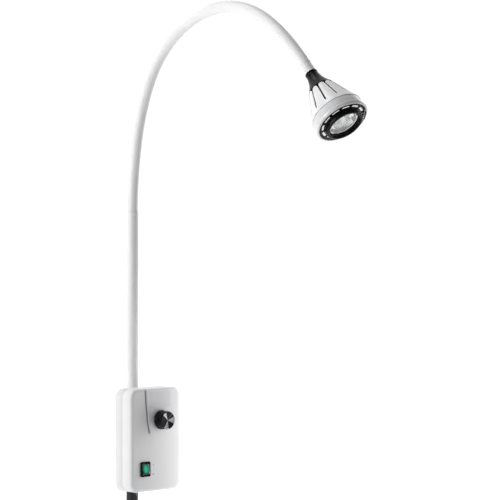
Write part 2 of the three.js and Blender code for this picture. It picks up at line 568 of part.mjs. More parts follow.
function buildBulb(head) {
  const rim = HEAD_LENGTH - 3.3;
  const outside = [[0, rim - 37], [7.8, rim - 37], [7.8, rim - 31], [9, rim - 29], [14, rim - 22],
    [19, rim - 13], [22.8, rim - 5], [25.2, rim - 1.6], [25.2, rim]];
  const inside = [[23.4, rim], [20.8, rim - 4], [17, rim - 11.5], [12, rim - 20], [7, rim - 25.5],
    [5, rim - 27], [0, rim - 27]];
  add(head, 'reflector', turned([...outside, ...inside], 20), mirrorGlass());
  add(head, 'halogen_capsule', turned([[0, rim - 26.7], [4.4, rim - 26.7], [4.6, rim - 15], [3.6, rim - 12],
    [1.4, rim - 10.4], [0, rim - 10]], 16), clearGlass());
  const plate = HEAD_LENGTH - 48;
  const halfPinPitch = 2.65;
  [-halfPinPitch, halfPinPitch].forEach((x, i) => {
    add(head, `lamp_pin_${i + 1}`, rod(0.8, plate - 6, rim - 37.3, 8), steel(), [x, 0, 0]);
  });
  const pinWays = [-halfPinPitch, halfPinPitch].map((x) =>
    rod(1.2, plate - 8, plate + 5, 10).translate(x, 0, 0));
  const socket = extruded(roundedRectangle(19, 13, 2), 15, 3).translate(0, 0, plate - GAP - 15);
  add(head, 'lamp_socket', cut(socket, ...pinWays), ceramic());
  const plateRadius = housingRadius(plate) - HOUSING_WALL - 0.6;
  const airways = [0, 1, 2, 3].map((i) => rod(3.6, plate - 1, plate + 3, 8).translate(14, 0, 0)
    .rotateZ((i + 0.5) * Math.PI / 2));
  const disc = rod(plateRadius, plate, plate + 1.5, 24);
  const centreHole = rod(6, plate - 1, plate + 3, 12);
  add(head, 'socket_plate', cut(disc, centreHole, ...airways), steel());
}

buildColumn();
buildCasing();
buildMains();
buildElectrics();
buildControls();
const head = buildNeck();
buildHousing(head);
buildFrontRing(head);
buildBulb(head);

export default lamp;
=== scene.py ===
import json
import math

import bmesh
import bpy
from mathutils import Matrix, Vector


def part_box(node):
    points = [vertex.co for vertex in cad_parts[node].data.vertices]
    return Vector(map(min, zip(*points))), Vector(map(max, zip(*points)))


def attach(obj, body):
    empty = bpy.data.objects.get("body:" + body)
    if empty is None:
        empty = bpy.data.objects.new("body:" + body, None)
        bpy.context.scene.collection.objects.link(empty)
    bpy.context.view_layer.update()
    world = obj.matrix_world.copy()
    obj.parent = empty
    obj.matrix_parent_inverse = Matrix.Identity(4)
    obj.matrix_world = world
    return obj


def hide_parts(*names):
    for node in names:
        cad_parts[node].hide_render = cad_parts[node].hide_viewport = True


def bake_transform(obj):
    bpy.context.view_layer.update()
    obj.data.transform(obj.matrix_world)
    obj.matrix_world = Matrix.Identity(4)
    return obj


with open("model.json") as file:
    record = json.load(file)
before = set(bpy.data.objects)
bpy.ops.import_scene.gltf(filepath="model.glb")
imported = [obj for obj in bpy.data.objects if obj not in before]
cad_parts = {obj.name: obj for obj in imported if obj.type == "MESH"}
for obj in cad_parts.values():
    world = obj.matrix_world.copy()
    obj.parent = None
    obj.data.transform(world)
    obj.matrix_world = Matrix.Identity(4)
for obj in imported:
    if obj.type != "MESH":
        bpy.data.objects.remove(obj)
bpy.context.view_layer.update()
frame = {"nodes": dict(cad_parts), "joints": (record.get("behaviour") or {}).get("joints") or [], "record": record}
scene = bpy.context.scene
nodes = frame["nodes"]
joints = {joint["name"]: joint for joint in frame["joints"]}
body_of_node = {n: b for b, members in frame["record"]["behaviour"]["bodies"].items() for n in members}

MM = 0.001
FULL = 2 * math.pi


def box_mm(node):
    """A node's low and high corners in millimetres."""
    return [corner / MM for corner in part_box(node)]


# ---- Places taken from the frame, in millimetres ----
box_low = Vector(map(min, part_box("rear_cover")[0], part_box("front_cover")[0])) / MM
box_high = Vector(map(max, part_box("rear_cover")[1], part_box("front_cover")[1])) / MM
BOX_WIDTH = box_high.x - box_low.x
BOX_HEIGHT = box_high.z - box_low.z
BOX_MIDDLE = (box_low.z + box_high.z) / 2
BOX_BACK = box_high.y
BOX_SPLIT = (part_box("rear_cover")[0].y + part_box("front_cover")[1].y) / 2 / MM
KNOB = Vector(joints["knob_turn"]["pos_m"]) / MM
ROCKER = Vector(joints["rocker_tilt"]["pos_m"]) / MM
BOX_FRONT = ROCKER.y
NECK_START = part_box("neck_tube")[1].z / MM
COLLAR = Vector(joints["ring_twist"]["pos_m"]) / MM
HEAD_AXIS = Vector(joints["ring_twist"]["axis"]).normalized()

# The neck's resting shape: a bend in degrees over each equal length, then a straight tail.
NECK_BENDS = (6, 4, 8, 10, 16, 16, 14, 16, 17, 16, 9, 7)
NECK_PITCH = 52
NECK_TAIL = 18
NECK_RADIUS = 8.75


# ---- Frames that pieces are drawn in; each turns local millimetres into metres ----
def placed(origin, x, y, z):
    turn = Matrix((x, y, z)).transposed().to_4x4()
    return Matrix.Scale(MM, 4) @ Matrix.Translation(origin) @ turn


UPRIGHT = Matrix.Scale(MM, 4)
HEAD = placed(COLLAR, Vector((1, 0, 0)), HEAD_AXIS.cross(Vector((1, 0, 0))), HEAD_AXIS)


def facing_front(x, y, z):
    """Local z stands out of the control box's front, local y is up."""
    return placed(Vector((x, y, z)), Vector((1, 0, 0)), Vector((0, 0, 1)), Vector((0, -1, 0)))


def upright_at(x, y, z):
    return placed(Vector((x, y, z)), Vector((1, 0, 0)), Vector((0, 1, 0)), Vector((0, 0, 1)))


def facing_back(x, y, z):
    return placed(Vector((x, y, z)), Vector((-1, 0, 0)), Vector((0, 0, 1)), Vector((0, 1, 0)))


# ---- Materials ----
def add_node(tree, kind, inputs=None, **settings):
    """A shader node; inputs are values, or other nodes' outputs to link."""
    made = tree.nodes.new(kind)
    for key, value in settings.items():
        setattr(made, key, value)
    for key, value in (inputs or {}).items():
        if isinstance(value, bpy.types.NodeSocket):
            tree.links.new(value, made.inputs[key])
        else:
            made.inputs[key].default_value = value
    return made


def add_range(tree, value, before, after, **settings):
    """A value whose range before, as (low, high), is carried to the range after."""
    inputs = {"Value": value, "From Min": before[0], "From Max": before[1], "To Min": after[0],
              "To Max": after[1]}
    return add_node(tree, "ShaderNodeMapRange", inputs, **settings).outputs["Result"]


class Look:
    """A Principled material, with short calls for the nodes behind its colour, roughness and bump."""

    def __init__(self, name, **sockets):
        self.material = bpy.data.materials.new(name)
        self.material.use_nodes = True
        self.tree = self.material.node_tree
        self.shader = self.tree.nodes["Principled BSDF"]
        for socket, value in sockets.items():
            self.shader.inputs[socket.replace("_", " ")].default_value = value
        self.where = self.tree.nodes.new("ShaderNodeTexCoord").outputs["Object"]

    def node(self, kind, inputs=None, **settings):
        return add_node(self.tree, kind, inputs, **settings)

    def link(self, output, socket):
        self.tree.links.new(output, self.shader.inputs[socket])

    def stretched(self, scale, offset=(0, 0, 0)):
        """Object coordinates moved by offset and scaled by a different number along each axis."""
        moved = self.node("ShaderNodeVectorMath", {0: self.where, 1: offset}, operation="SUBTRACT")
        return self.node("ShaderNodeVectorMath", {0: moved.outputs[0], 1: scale},
                         operation="MULTIPLY").outputs[0]

    def noise(self, scale, detail=3, where=None):
        made = self.node("ShaderNodeTexNoise", {"Vector": where or self.where, "Scale": scale,
                         "Detail": detail})
        return made.outputs["Fac"]

    def spread(self, value, low, high):
        """A noise value, mostly 0.3 to 0.7, spread over low to high."""
        return add_range(self.tree, value, (0.3, 0.7), (low, high))

    def between(self, value, colour_a, colour_b):
        made = self.node("ShaderNodeValToRGB", {"Fac": value})
        made.color_ramp.elements[0].position = 0.3
        made.color_ramp.elements[1].position = 0.7
        made.color_ramp.elements[0].color = (*colour_a, 1)
        made.color_ramp.elements[1].color = (*colour_b, 1)
        return made.outputs["Color"]

    def bump(self, *heights):
        """Stacks bumps, each (height output, strength, depth in metres)."""
        normal = None
        for height, strength, depth in heights:
            inputs = {"Height": height, "Strength": strength, "Distance": depth}
            if normal is not None:
                inputs["Normal"] = normal
            normal = self.node("ShaderNodeBump", inputs).outputs["Normal"]
        self.link(normal, "Normal")


def moulded_plastic(name, colour, shade, rough, grain, **sockets):
    """Injection-moulded plastic: a slightly uneven gloss, faint flow marks and a fine spark-eroded grain."""
    look = Look(name, **sockets)
    flow = look.noise(14, 2)
    look.link(look.between(flow, shade, colour), "Base Color")
    look.link(look.spread(look.noise(220, 4), *rough), "Roughness")
    look.bump((look.noise(2600, 2), grain, 0.00004), (look.noise(60, 1), 0.05, 0.0003))
    return look.material


def brushed_metal(name, colour, shade, rough, scale, depth=0.00003, **sockets):
    """Metal with fine lines along one axis; scale is (x, y, z) per metre."""
    look = Look(name, Metallic=1.0, **sockets)
    lines = look.noise(1, 3, look.stretched(scale))
    look.link(look.between(lines, shade, colour), "Base Color")
    look.link(look.spread(lines, *rough), "Roughness")
    look.bump((lines, 0.25, depth))
    return look.material


def spun_metal(name, centre):
    """Aluminium turned on a lathe: rings round the local -Y axis through centre, with painted highlight streaks:
    base colour from near black to bright in wedges round the centre.
    """
    look = Look(name, Metallic=1.0, Anisotropic=0.9)
    about = look.stretched((1, 0, 1), tuple(centre))
    radius = look.node("ShaderNodeVectorMath", {0: about}, operation="LENGTH").outputs["Value"]
    turns = look.node("ShaderNodeMath", {0: radius, 1: FULL / 0.00042}, operation="MULTIPLY").outputs[0]
    rings = look.node("ShaderNodeMath", {0: turns}, operation="SINE").outputs[0]
    spoke = look.node("ShaderNodeVectorMath", {0: about}, operation="NORMALIZE").outputs["Vector"]
    streak = look.noise(1.7, 2, spoke)
    # Painted highlight: wedges round the centre take the base colour from near black to bright, standing in for
    # spun metal's streaked reflections; roughness follows the same wedges.
    painted_streak_highlight = add_range(look.tree, streak, (0.44, 0.64), (0, 1))
    look.link(look.between(painted_streak_highlight, (0.03, 0.03, 0.033), (0.75, 0.75, 0.76)), "Base Color")
    look.link(look.spread(painted_streak_highlight, 0.16, 0.1), "Roughness")
    tangent = look.node("ShaderNodeTangent", direction_type="RADIAL", axis="Y")
    look.link(tangent.outputs["Tangent"], "Tangent")
    look.bump((rings, 0.3, 0.00002))
    return look.material


def lit_lens(name, centre):
    """Deep green translucent plastic with a small neon lamp glowing behind its middle."""
    look = Look(name, Specular_IOR_Level=0.6, Coat_Weight=0.6, Emission_Color=(0.02, 0.62, 0.36, 1))
    mottle = look.noise(700, 3)
    look.link(look.between(mottle, (0.002, 0.035, 0.022), (0.004, 0.075, 0.045)), "Base Color")
    look.link(look.spread(mottle, 0.08, 0.2), "Roughness")
    away = look.stretched((1, 1, 0.8), tuple(centre))
    reach = look.node("ShaderNodeVectorMath", {0: away}, operation="LENGTH").outputs["Value"]
    glow = add_range(look.tree, reach, (0.0015, 0.0075), (0.75, 0.015), interpolation_type="SMOOTHSTEP")
    look.link(glow, "Emission Strength")
    look.bump((mottle, 0.2, 0.00005))
    return look.material


def clear_material(name, colour, rough, **sockets):
    look = Look(name, Transmission_Weight=1.0, **sockets)
    smear = look.noise(90, 3)
    look.link(look.between(smear, [0.985 * c for c in colour], colour), "Base Color")
    look.link(look.spread(smear, *rough), "Roughness")
    return look.material


WHITE = moulded_plastic("white_plastic", (0.84, 0.84, 0.85), (0.8, 0.8, 0.81), (0.3, 0.4), 0.22)
HEAD_WHITE = moulded_plastic("white_plastic_head", (0.84, 0.84, 0.85), (0.8, 0.8, 0.81), (0.2, 0.3), 0.06,
                             Coat_Weight=0.3, Coat_Roughness=0.12)
SLEEVE = moulded_plastic("neck_sleeve", (0.9, 0.9, 0.905), (0.87, 0.87, 0.875), (0.36, 0.48), 0.3)
BAND = moulded_plastic("grey_band", (0.76, 0.765, 0.775), (0.72, 0.725, 0.735), (0.3, 0.38), 0.15)
# Grey for the strip along the groove's floor: painted shade that makes the groove read dark.
GROOVE_PAINTED_SHADE = moulded_plastic("groove_painted_shade", (0.42, 0.42, 0.44), (0.37, 0.37, 0.39), (0.5, 0.6), 0.3)
# White for the ring behind the front ring's slots; its emission is painted light, a glow with no lamp behind it,
# so the slots read bright.
VENT_BACKING_PAINTED_GLOW = moulded_plastic("vent_backing_painted_glow", (0.86, 0.86, 0.86), (0.82, 0.82, 0.82), (0.4, 0.5), 0.1,
                             Emission_Color=(1, 1, 1, 1), Emission_Strength=0.45)
LABEL = moulded_plastic("label_film", (0.76, 0.76, 0.785), (0.73, 0.73, 0.755), (0.42, 0.5), 0.3)
BLACK = moulded_plastic("black_plastic", (0.005, 0.005, 0.006), (0.003, 0.003, 0.004), (0.2, 0.3), 0.05,
                        Specular_IOR_Level=0.12, Coat_Weight=0.06, Coat_Roughness=0.08)
SATIN_BLACK = moulded_plastic("black_plastic_satin", (0.02, 0.02, 0.021), (0.013, 0.013, 0.014), (0.34, 0.46),
                              0.3)
INK = moulded_plastic("printed_mark", (0.1, 0.1, 0.11), (0.07, 0.07, 0.08), (0.45, 0.6), 0.2)
RUBBER = moulded_plastic("rubber", (0.03, 0.03, 0.03), (0.02, 0.02, 0.02), (0.7, 0.85), 0.6)
CERAMIC = moulded_plastic("ceramic", (0.76, 0.72, 0.62), (0.68, 0.64, 0.54), (0.6, 0.8), 0.6)
BOARD = moulded_plastic("circuit_board", (0.02, 0.17, 0.07), (0.015, 0.12, 0.05), (0.3, 0.42), 0.3)
LENS = lit_lens("green_lens", ROCKER * MM)
# The spigot's chrome has a near-black base colour: a painted dark reflection, as if it mirrored a dark room.
CHROME_PAINTED_DARK_REFLECTION = brushed_metal("spigot_chrome_painted_dark_reflection", (0.06, 0.06, 0.064), (0.04, 0.04, 0.043), (0.03, 0.07),
                            (300, 300, 40), 0.000005)
CHROME = brushed_metal("chrome", (0.82, 0.82, 0.84), (0.78, 0.78, 0.8), (0.04, 0.09), (300, 300, 40),
                       0.000005)
STEEL = brushed_metal("steel", (0.6, 0.61, 0.62), (0.45, 0.46, 0.48), (0.22, 0.36), (2500, 2500, 200))
ALUMINIUM = brushed_metal("aluminium", (0.7, 0.71, 0.73), (0.58, 0.59, 0.61), (0.22, 0.34), (200, 2000, 2000))
COPPER = brushed_metal("copper", (0.72, 0.33, 0.17), (0.5, 0.2, 0.1), (0.25, 0.4), (150, 150, 3200), 0.0002)
TUNGSTEN = brushed_metal("tungsten", (0.5, 0.48, 0.44), (0.35, 0.33, 0.3), (0.3, 0.5), (4000, 4000, 4000))
# The reflector's emission is painted light: the dish glows though the bulb in it is not lit, so its facets read
# bright.
MIRROR_PAINTED_GLOW = brushed_metal("mirror", (0.94, 0.94, 0.95), (0.86, 0.87, 0.88), (0.03, 0.12), (220, 220, 220),
                       0.00001, Emission_Color=(1, 1, 1, 1), Emission_Strength=0.22)
SPUN = spun_metal("spun_aluminium", KNOB * MM)
GLASS = clear_material("clear_glass", (0.97, 0.985, 0.98), (0.0, 0.02), IOR=1.5)
QUARTZ = clear_material("quartz_glass", (0.98, 0.98, 0.98), (0.0, 0.05), IOR=1.46)


# ---- Outlines ----
def arc(centre, radius, start, end, steps):
    """Points on an arc, both ends included, angles in degrees."""
    spots = [math.radians(start + (end - start) * i / steps) for i in range(steps + 1)]
    return [(centre[0] + radius * math.cos(a), centre[1] + radius * math.sin(a)) for a in spots]


def round_angles(count):
    return [FULL * k / count for k in range(count)]


def quarter_turn(steps):
    return [math.pi / 2 * i / steps for i in range(steps + 1)]


def circle(radius, sides=32):
    return arc((0, 0), radius, 0, 360 - 360 / sides, sides - 1)


def on_circle(radius, angle):
    return (radius * math.cos(angle), radius * math.sin(angle))


def rounded_rectangle(width, height, radius, steps=8):
    """A closed outline with round corners."""
    w, h = width / 2 - radius, height / 2 - radius
    return [point for sx, sy, start in ((1, 1, 0), (-1, 1, 90), (-1, -1, 180), (1, -1, 270))
            for point in arc((sx * w, sy * h), radius, start, start + 90, steps)]


def softened(points, radius, closed=False, steps=4):
    """The same path with each inner corner rounded to about radius."""
    path = [Vector(p) for p in points]
    count = len(path)
    result = []
    for i, here in enumerate(path):
        if not closed and i in (0, count - 1):
            result.append(tuple(here))
            continue
        back, ahead = path[i - 1] - here, path[(i + 1) % count] - here
        bend = math.pi - back.angle(ahead)
        if bend < math.radians(12):
            result.append(tuple(here))
            continue
        reach = min(radius * math.tan(bend / 2), 0.45 * back.length, 0.45 * ahead.length)
        a, b = here + back.normalized() * reach, here + ahead.normalized() * reach
        for k in range(steps + 1):
            t = k / steps
            result.append(tuple((1 - t) ** 2 * a + 2 * t * (1 - t) * here + t * t * b))
    return result


def inset_outline(points, distance):
    """A closed counter-clockwise outline moved inwards by distance."""
    path = [Vector(p) for p in points]
    moved = []
    for i, here in enumerate(path):
        along = (path[(i + 1) % len(path)] - path[i - 1]).normalized()
        moved.append(tuple(here + Vector((-along.y, along.x)) * distance))
    return moved


# ---- Meshes ----
def mesh_from(shape, name):
    """A new mesh from a bmesh, which is freed."""
    mesh = bpy.data.meshes.new(name)
    shape.to_mesh(mesh)
    shape.free()
    return mesh


def solid(name, verts, faces, look, body=None, place=UPRIGHT, sharp=32):
    """A mesh object from local points, with its faces turned outwards and its corners kept sharp."""
    shape = bmesh.new()
    made = [shape.verts.new(place @ Vector(v)) for v in verts]
    for face in faces:
        corners = list(dict.fromkeys(face))
        if len(corners) > 2:
            shape.faces.new([made[i] for i in corners])
    bmesh.ops.remove_doubles(shape, verts=shape.verts, dist=1e-7)
    bmesh.ops.recalc_face_normals(shape, faces=shape.faces)
    return finished(name, mesh_from(shape, name), look, body, sharp)


def shade(mesh, sharp):
    """Smooth shading, broken where faces meet at more than sharp degrees."""
    mesh.polygons.foreach_set("use_smooth", [True] * len(mesh.polygons))
    mesh.set_sharp_from_angle(angle=math.radians(sharp))


def with_modifiers(piece):
    """A new mesh from the piece as its modifiers leave it."""
    bpy.context.view_layer.update()
    return bpy.data.meshes.new_from_object(piece.evaluated_get(bpy.context.evaluated_depsgraph_get()))


def finished(name, mesh, look, body, sharp=32):
    shade(mesh, sharp)
    mesh.materials.clear()
    mesh.materials.append(look)
    piece = bpy.data.objects.new(name, mesh)
    scene.collection.objects.link(piece)
    if body:
        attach(piece, body)
    return piece


def lofted(name, rings, look, body=None, place=UPRIGHT, closed=False, sharp=32):
    """A skin over rings of equal length, with capped ends, or closed from the last ring to the first."""
    size = len(rings[0])
    verts = [p for ring in rings for p in ring]
    faces = []
    for i in range(len(rings) if closed else len(rings) - 1):
        a, b = i * size, (i + 1) % len(rings) * size
        faces += [(a + k, a + (k + 1) % size, b + (k + 1) % size, b + k) for k in range(size)]
    if not closed:
        faces += [tuple(range(size)), tuple(range(len(verts) - size, len(verts)))]
    return solid(name, verts, faces, look, body, place, sharp)


def turned(name, profile, look, body=None, place=UPRIGHT, sides=96, soften=0.3, ripple=None, sharp=32):
    """A solid of revolution about local z from (radius, z) points, with its corners softened.
    ripple(radius, z, angle) may return a change of radius. A profile off the axis closes on itself."""
    on_axis = profile[0][0] == 0
    path = softened(profile, soften, closed=not on_axis)
    rings = []
    for radius, z in path:
        ring = []
        for k in range(sides):
            a = FULL * k / sides
            r = radius + (ripple(radius, z, a) if ripple else 0)
            ring.append((*on_circle(r, a), z))
        rings.append(ring)
    return lofted(name, rings, look, body, place, closed=not on_axis, sharp=sharp)


def raised(name, outline, levels, look, body=None, place=UPRIGHT, sharp=32):
    """An outline stacked along local z; levels are (inset, z), and z may be a function of (x, y)."""
    rings = []
    for inset, z in levels:
        moved = inset_outline(outline, inset) if inset else outline
        rings.append([(x, y, z(x, y) if callable(z) else z) for x, y in moved])
    return lofted(name, rings, look, body, place, sharp=sharp)


def pillow(thickness, edge, base=0.0, steps=3):
    """Levels for raised(): a slab from base with its front edge rounded by edge."""
    round_edge = [(edge * (1 - math.cos(a)), base + thickness - edge + edge * math.sin(a))
                  for a in quarter_turn(steps)]
    return [(0, base), *round_edge, (edge * 1.6, base + thickness)]


def joined(name, pieces, look, body=None):
    """One object from several that don't need to be cut into each other."""
    shape = bmesh.new()
    for piece in pieces:
        shape.from_mesh(piece.data)
        bpy.data.objects.remove(piece)
    return finished(name, mesh_from(shape, name), look, body)


def carved(piece, tools, sharp=32):
    """Cuts the tools out of piece and removes them."""
    for tool in tools:
        cutter = piece.modifiers.new("cut", "BOOLEAN")
        cutter.operation = "DIFFERENCE"
        cutter.solver = "EXACT"
        cutter.object = tool
    mesh = with_modifiers(piece)
    piece.modifiers.clear()
    piece.data = mesh
    for tool in tools:
        bpy.data.objects.remove(tool)
    shade(mesh, sharp)
    return piece


def refined(node, look, bevel):
    """The CAD node's own shape with its sharp edges rounded off."""
    shape = bmesh.new()
    shape.from_mesh(nodes[node].data)
    bmesh.ops.remove_doubles(shape, verts=shape.verts, dist=2e-6)
    bmesh.ops.dissolve_limit(shape, angle_limit=math.radians(1), verts=shape.verts, edges=shape.edges)
    corner = math.radians(35)
    edges = [e for e in shape.edges if e.is_manifold and e.calc_face_angle() > corner]
    bmesh.ops.bevel(shape, geom=edges, offset=bevel * MM, segments=2, profile=0.5, affect="EDGES",
                    clamp_overlap=True)
    name = f"{node}_rounded"
    piece = finished(name, mesh_from(shape, name), look, body_of_node[node])
    return stands_for(piece, SLOT_OF[node], node)


def stands_for(piece, slot, *replaced):
    if replaced:
        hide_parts(*replaced)
    return piece


SLOT_OF = {part["node"]: part["material_slot"] for part in frame["record"]["subparts"]}
SLOT_LOOKS = {
    "white_plastic": WHITE, "neck_sleeve": SLEEVE, "black_plastic": BLACK, "chrome": CHROME, "steel": STEEL,
    "aluminium": ALUMINIUM, "copper": COPPER, "ceramic": CERAMIC, "circuit_board": BOARD, "green_lens": LENS,
    "rubber": RUBBER, "clear_glass": GLASS, "mirror": MIRROR_PAINTED_GLOW,
}


# ---- Camera, light and floor ----
BACKDROP = (0.68, 0.73)         # x and y of the way from the camera to the backdrop


def build_camera():
    """A long lens level with the tube's lower half, to the left of the lamp's front."""
    azimuth, distance, sideways, height = math.radians(-43), 3.1, 0.186, 0.4454
    back = Vector((math.sin(azimuth), -math.cos(azimuth), 0))
    right = Vector((math.cos(azimuth), math.sin(azimuth), 0))
    data = bpy.data.cameras.new("camera")
    data.sensor_width = 36
    data.lens = 141.3
    camera = bpy.data.objects.new("camera", data)
    camera.rotation_mode = "QUATERNION"
    camera.location = back * distance + right * sideways + Vector((0, 0, height))
    camera.rotation_quaternion = (-back).to_track_quat("-Z", "Y")
    scene.collection.objects.link(camera)
    scene.camera = camera


def area_light(name, location, target, size, power, tall=None):
    """A round soft light, or with tall an upright rectangle, that the camera doesn't see."""
    data = bpy.data.lights.new(name, "AREA")
    data.shape = "RECTANGLE" if tall else "DISK"
    data.size = size
    if tall:
        data.size_y = tall
    data.energy = power
    lamp = bpy.data.objects.new(name, data)
    lamp.location = location
    lamp.rotation_mode = "QUATERNION"
    lamp.rotation_quaternion = (Vector(target) - Vector(location)).to_track_quat("-Z", "Y")
    lamp.visible_camera = False
    scene.collection.objects.link(lamp)


def build_studio():
    """A white backdrop, a dim room before it, a pale floor and soft lights on all sides but the back."""
    scene.view_settings.view_transform = "Standard"
    world = bpy.data.worlds.new("studio")
    world.use_nodes = True
    scene.world = world
    tree = world.node_tree
    background = tree.nodes["Background"]
    background.inputs["Color"].default_value = (1, 1, 1, 1)
    where = add_node(tree, "ShaderNodeTexCoord").outputs["Generated"]
    backdrop = Vector((*BACKDROP, 0.1)).normalized()
    towards = add_node(tree, "ShaderNodeVectorMath", {0: where, 1: backdrop}, operation="DOT_PRODUCT")
    fade = add_range(tree, towards.outputs["Value"], (-0.15, 0.6), (0.06, 1.06),
                     interpolation_type="SMOOTHSTEP")
    tree.links.new(fade, background.inputs["Strength"])

    area_light("overhead_soft_light", (-1.0, 0.5, 2.6), (0, -0.2, 0.4), 1.6, 14)
    area_light("side_soft_light", (-2.1, 0.15, 0.9), (0, -0.1, 0.4), 1.0, 26)
    area_light("near_fill", (0.15, -0.125, 0.15), (0.0, -0.06, 0.15), 0.07, 0.23, 0.24)
    area_light("low_fill", (0.2, -0.95, 0.25), (0, -0.47, 0.63), 0.25, 0.1)
    area_light("right_soft_light", (1.5, -0.15, 1.3), (0, -0.3, 0.55), 0.9, 4)

    floor = bpy.data.meshes.new("floor")
    reach = 30
    floor.from_pydata([(-reach, -reach, 0), (reach, -reach, 0), (reach, reach, 0), (-reach, reach, 0)], [],
                      [(0, 1, 2, 3)])
    ground = bpy.data.objects.new("floor", floor)
    paint = Look("floor_paint", Emission_Color=(1, 1, 1, 1))
    depth = paint.node("ShaderNodeVectorMath", {0: paint.where, 1: (*BACKDROP, 0)}, operation="DOT_PRODUCT")
    lit = add_range(paint.tree, depth.outputs["Value"], (-0.3, 0.3), (0, 0.75))
    paint.link(lit, "Emission Strength")
    paint.link(paint.between(paint.noise(3, 2), (0.71, 0.71, 0.71), (0.75, 0.75, 0.75)), "Base Color")
    paint.link(paint.spread(paint.noise(40, 2), 0.6, 0.7), "Roughness")
    floor.materials.append(paint.material)
    scene.collection.objects.link(ground)


# ---- Spigot, tube and bracket ----
def build_column():
    spigot_low, spigot_high = box_mm("mounting_spigot")
    outer, wall = spigot_high.x, 2
    spigot = turned("mounting_spigot_tube", [(outer, spigot_low.z), (outer, spigot_high.z),
                    (outer - wall, spigot_high.z), (outer - wall, spigot_low.z)], CHROME_PAINTED_DARK_REFLECTION, "base")
    stands_for(spigot, "chrome", "mounting_spigot")
    plug = turned("spigot_end_plug", [(0, 0.4), (5, 0.4), (6, 0), (8.6, 0), (outer, 0.9), (outer, 3),
                  (outer - wall - 0.3, 3), (outer - wall - 0.3, 14), (0, 14)], RUBBER, "base", soften=0.5)
    stands_for(plug, "rubber", "spigot_plug")

    tube_low, tube_high = box_mm("neck_tube")
    radius, bore, top = tube_high.x, tube_high.x - 1.6, tube_high.z
    tube = turned("neck_tube_sleeved", [(radius, tube_low.z), (radius, top - 9), (radius - 0.25, top - 8.6),
                  (radius - 0.25, top - 8), (radius, top - 7.6), (radius, top - 1.2), (radius - 0.5, top),
                  (bore, top), (bore, tube_low.z)], SLEEVE, "base", soften=0.35)
    stands_for(tube, "white_plastic", "neck_tube")
    refined("pole_bracket", WHITE, 0.8)
    for node in ("pinch_screw_1", "pinch_screw_2", "bracket_screw_1", "bracket_screw_2"):
        low, high = box_mm(node)
        head = (high.x - low.x) / 2
        sunk = facing_back((low.x + high.x) / 2, high.y, (low.z + high.z) / 2)
        stands_for(socket_screw(f"{node}_head", head, low.y - high.y, sunk), "steel", node)


def socket_screw(name, head, length, place):
    """A pan-headed screw with a cross recess, its top at local z 0 and its tip at length (negative)."""
    thread = head * 0.55
    body = turned(name, [(0, 0), (head * 0.45, -0.05), (head * 0.86, -0.35), (head, -1.1), (head, -2.2),
                  (thread, -2.5), (thread, length + 0.6), (thread * 0.6, length), (0, length)], STEEL, "base",
                  place, sides=40, soften=0.25)
    arms = [raised("arm", rounded_rectangle(w, h, 0.15, 3), [(0.25, -1.3), (0, -0.2), (0, 1)], STEEL, None,
            place) for w, h in ((head * 1.1, head * 0.3), (head * 0.3, head * 1.1))]
    return carved(body, arms)


# ---- Control box ----
CORNER = 14
EDGE = 5
WALL = 2.4
FIELD_FOOT = BOX_MIDDLE + 12                      # z where the raised field runs out
FIELD_TOP = box_high.z - 0.9
FIELD_RISE = 1.7
GROOVE_DEPTH = 2.1
GROOVE_WIDTH = 3.4


def box_ring(inset, y):
    outline = rounded_rectangle(BOX_WIDTH - 2 * inset, BOX_HEIGHT - 2 * inset, max(CORNER - inset, 0.8), 10)
    return [(x, y, BOX_MIDDLE + z) for x, z in outline]


def cover(name, split, face, look, node):
    """Half of the casing: a wall from the split to the rounded edge round its face."""
    way = math.copysign(1, face - split)
    quarter = quarter_turn(8)
    inner_edge = EDGE - WALL
    inner = [(WALL + inner_edge * (1 - math.cos(a)), face - way * EDGE + way * inner_edge * math.sin(a))
             for a in reversed(quarter)]
    outer = [(EDGE * (1 - math.cos(a)), face - way * EDGE + way * EDGE * math.sin(a)) for a in quarter]
    stations = [(EDGE + 0.8, face - way * WALL), *inner, (WALL, split), (0.55, split),
                (0.15, split + way * 0.25), (0, split + way * 0.6), *outer, (EDGE + 0.8, face)]
    piece = lofted(name, [box_ring(*station) for station in stations], look, "base", sharp=28)
    return stands_for(piece, "white_plastic", node)


def groove_line(z):
    """x of the raised field's left edge: it leans in towards the knob as it comes down."""
    share = (FIELD_TOP - z) / (FIELD_TOP - FIELD_FOOT)
    return -20.5 + 3.2 * share + 4.3 * share ** 2


def field_heights(top):
    return [FIELD_FOOT + (top - FIELD_FOOT) * i / 24 for i in range(25)]


def groove_outline(top, margin):
    """The groove up to a height, from its round lower end, moved inwards by margin."""
    heights = field_heights(top)[1:]
    middle = (groove_line(FIELD_FOOT) - GROOVE_WIDTH / 2, FIELD_FOOT)
    return [*arc(middle, GROOVE_WIDTH / 2 - margin, 180, 360, 8), *[(groove_line(z) - margin, z)
            for z in heights], *[(groove_line(z) - GROOVE_WIDTH + margin, z) for z in reversed(heights)]]


